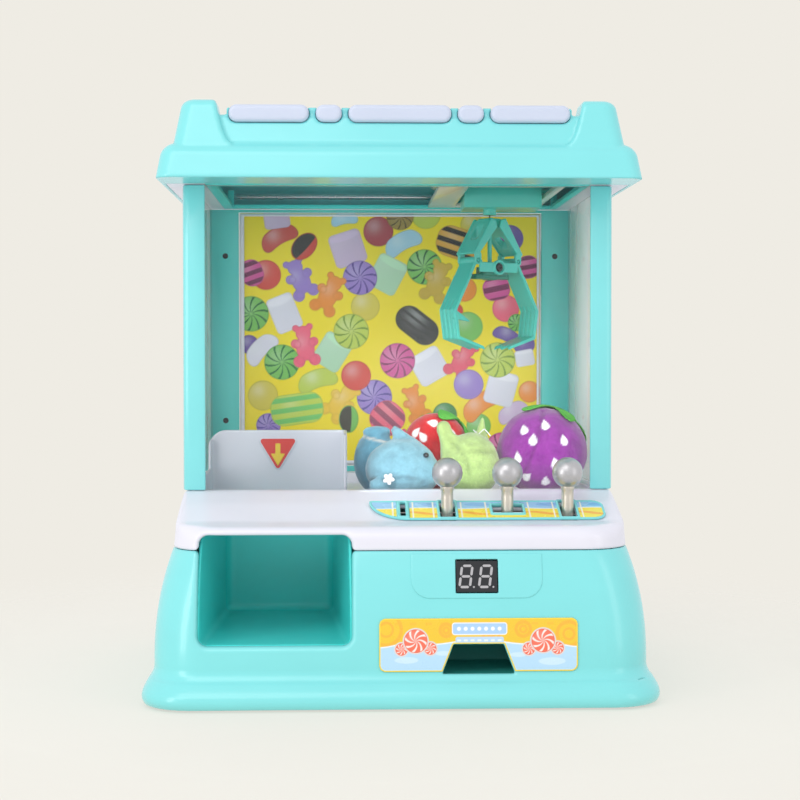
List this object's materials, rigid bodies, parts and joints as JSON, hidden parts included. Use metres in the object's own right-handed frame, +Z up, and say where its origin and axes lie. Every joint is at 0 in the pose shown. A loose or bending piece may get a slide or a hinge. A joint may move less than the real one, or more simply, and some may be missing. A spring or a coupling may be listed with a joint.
{
  "type": "claw crane machine",
  "caption": "Table-top toy claw crane with driven gantry, hanging finger claw, joysticks, prize chute and a hinged loading door.",
  "frame": {"origin": "on the ground under the middle of the machine's outer box", "axes": "+Z up, front faces -Y, +X to the player's right"},
  "size_m": [0.311, 0.275, 0.3652],
  "materials": {
    "aqua_plastic": "glossy pale aqua moulded plastic",
    "foot_rubber": "matt black rubber",
    "teal_plastic": "satin teal moulded plastic",
    "white_plastic": "glossy white moulded plastic",
    "grey_plastic": "satin off-white plastic",
    "printed_label": "printed sticker with sweets on yellow and sky blue",
    "printed_card": "printed picture card with sweets on yellow",
    "sign_plastic": "glossy red printed plate",
    "black_plastic": "black plastic",
    "circuit_board": "green lacquered board",
    "silver_finish": "satin silver plating on plastic",
    "clear_window": "clear sheet plastic",
    "frosted_light": "frosted white diffuser",
    "bright_steel": "bright drawn steel",
    "claw_plastic": "teal moulded plastic",
    "claw_hub_plastic": "dark green moulded plastic",
    "black_string": "thin dark cord",
    "purple_plush": "short-pile purple plush with white seed patches",
    "red_plush": "short-pile red plush with white seed patches",
    "green_plush": "short-pile pale green plush",
    "blue_plush": "short-pile pale blue plush"
  },
  "bodies": {
    "cabinet": {"base_shell": "aqua_plastic", "base_plate": "grey_plastic", "foot_front_left": "foot_rubber", "foot_front_right": "foot_rubber", "foot_rear_left": "foot_rubber", "foot_rear_right": "foot_rubber", "outlet_tray": "teal_plastic", "coin_cup": "teal_plastic", "coin_channel": "grey_plastic", "front_label": "printed_label", "led_display": "black_plastic", "main_board": "circuit_board", "deck": "white_plastic", "console_panel": "aqua_plastic", "bin_floor": "white_plastic", "chute_duct": "white_plastic", "chute_sign": "sign_plastic", "joystick_bracket": "grey_plastic", "front_post_left": "aqua_plastic", "front_post_right": "aqua_plastic", "front_window": "clear_window", "side_window_left": "clear_window", "side_window_right": "clear_window", "rear_frame": "aqua_plastic", "door_hinge_pin": "bright_steel", "roof_shell": "aqua_plastic", "roof_tray": "grey_plastic", "ceiling_frame": "teal_plastic", "light_cover_1": "frosted_light", "light_cover_2": "frosted_light", "light_cover_3": "frosted_light", "light_cover_4": "frosted_light", "light_cover_5": "frosted_light", "gantry_rail_front": "bright_steel", "gantry_rail_rear": "bright_steel", "purple_berry_plush": "purple_plush", "red_berry_plush": "red_plush", "green_plush": "green_plush", "blue_plush": "blue_plush", "blue_plush_rear": "blue_plush"},
    "rear_door": {"rear_door": "aqua_plastic", "backdrop_card": "printed_card"},
    "battery_door": {"battery_door": "aqua_plastic"},
    "power_switch": {"power_switch": "black_plastic"},
    "joystick_left": {"joystick_shaft_left": "silver_finish", "joystick_knob_left": "silver_finish"},
    "joystick_middle": {"joystick_shaft_middle": "silver_finish", "joystick_knob_middle": "silver_finish"},
    "joystick_right": {"joystick_shaft_right": "silver_finish", "joystick_knob_right": "silver_finish"},
    "bridge": {"bridge_frame": "grey_plastic", "bridge_motor": "bright_steel"},
    "carriage": {"carriage": "claw_plastic", "hoist_motor": "black_plastic", "hoist_string": "black_string"},
    "hoist_spool": {"hoist_spool": "grey_plastic"},
    "claw": {"claw_frame": "claw_plastic"},
    "claw_hub": {"claw_hub": "claw_hub_plastic"},
    "finger_left": {"claw_finger_left": "claw_plastic"},
    "finger_right": {"claw_finger_right": "claw_plastic"}
  },
  "joints": [
    {"name": "bridge_slide", "type": "slide", "parent": "cabinet", "child": "bridge", "axis": [1, 0, 0], "range_m": [-0.134, 0.008]},
    {"name": "carriage_slide", "type": "slide", "parent": "bridge", "child": "carriage", "axis": [0, 1, 0], "range_m": [-0.06, 0.03]},
    {"name": "claw_hoist", "type": "slide", "parent": "carriage", "child": "claw", "axis": [0, 0, -1], "range_m": [0, 0.078], "deforming": ["hoist_string"]},
    {"name": "hoist_spool_turn", "type": "hinge", "parent": "carriage", "child": "hoist_spool", "pos_m": [0.067, 0.062, 0.3216], "axis": [1, 0, 0], "range_deg": [-10, 810]},
    {"name": "claw_hub_slide", "type": "slide", "parent": "claw", "child": "claw_hub", "axis": [0, 0, 1], "range_m": [-0.0043, 0.0015]},
    {"name": "claw_close_left", "type": "hinge", "parent": "claw", "child": "finger_left", "pos_m": [0.05226, 0.04568, 0.274], "axis": [0.5736, -0.8192, 0], "range_deg": [-26.2, 9.2]},
    {"name": "claw_close_right", "type": "hinge", "parent": "claw", "child": "finger_right", "pos_m": [0.08174, 0.06632, 0.274], "axis": [-0.5736, 0.8192, 0], "range_deg": [-26.2, 9.2]},
    {"name": "joystick_left_tilt", "type": "hinge", "parent": "cabinet", "child": "joystick_left", "pos_m": [0.0289, -0.082, 0.09], "axis": [-1, 0, 0], "range_deg": [-12, 12], "stiffness_Nm_per_rad": 0.15},
    {"name": "joystick_middle_tilt", "type": "hinge", "parent": "cabinet", "child": "joystick_middle", "pos_m": [0.066, -0.082, 0.09], "axis": [0, 1, 0], "range_deg": [-11, 11], "stiffness_Nm_per_rad": 0.15},
    {"name": "joystick_right_tilt", "type": "hinge", "parent": "cabinet", "child": "joystick_right", "pos_m": [0.1032, -0.082, 0.09], "axis": [-1, 0, 0], "range_deg": [-12, 12], "stiffness_Nm_per_rad": 0.15},
    {"name": "rear_door_hinge", "type": "hinge", "parent": "cabinet", "child": "rear_door", "pos_m": [0.1135, 0.134, 0.22], "axis": [0, 0, -1], "range_deg": [0, 105]},
    {"name": "battery_door_hinge", "type": "hinge", "parent": "cabinet", "child": "battery_door", "pos_m": [0.065, 0.1315, 0.02535], "axis": [-1, 0, 0], "range_deg": [0, 90]},
    {"name": "power_switch_slide", "type": "slide", "parent": "cabinet", "child": "power_switch", "axis": [1, 0, 0], "range_m": [0, 0.005]}
  ],
  "couplings": [
    {"joint": "claw_close_left", "follows": "claw_hub_slide", "rad_per_m": 105.26},
    {"joint": "claw_close_right", "follows": "claw_hub_slide", "rad_per_m": 105.26},
    {"joint": "hoist_spool_turn", "follows": "claw_hoist", "rad_per_m": 178.57}
  ]
}
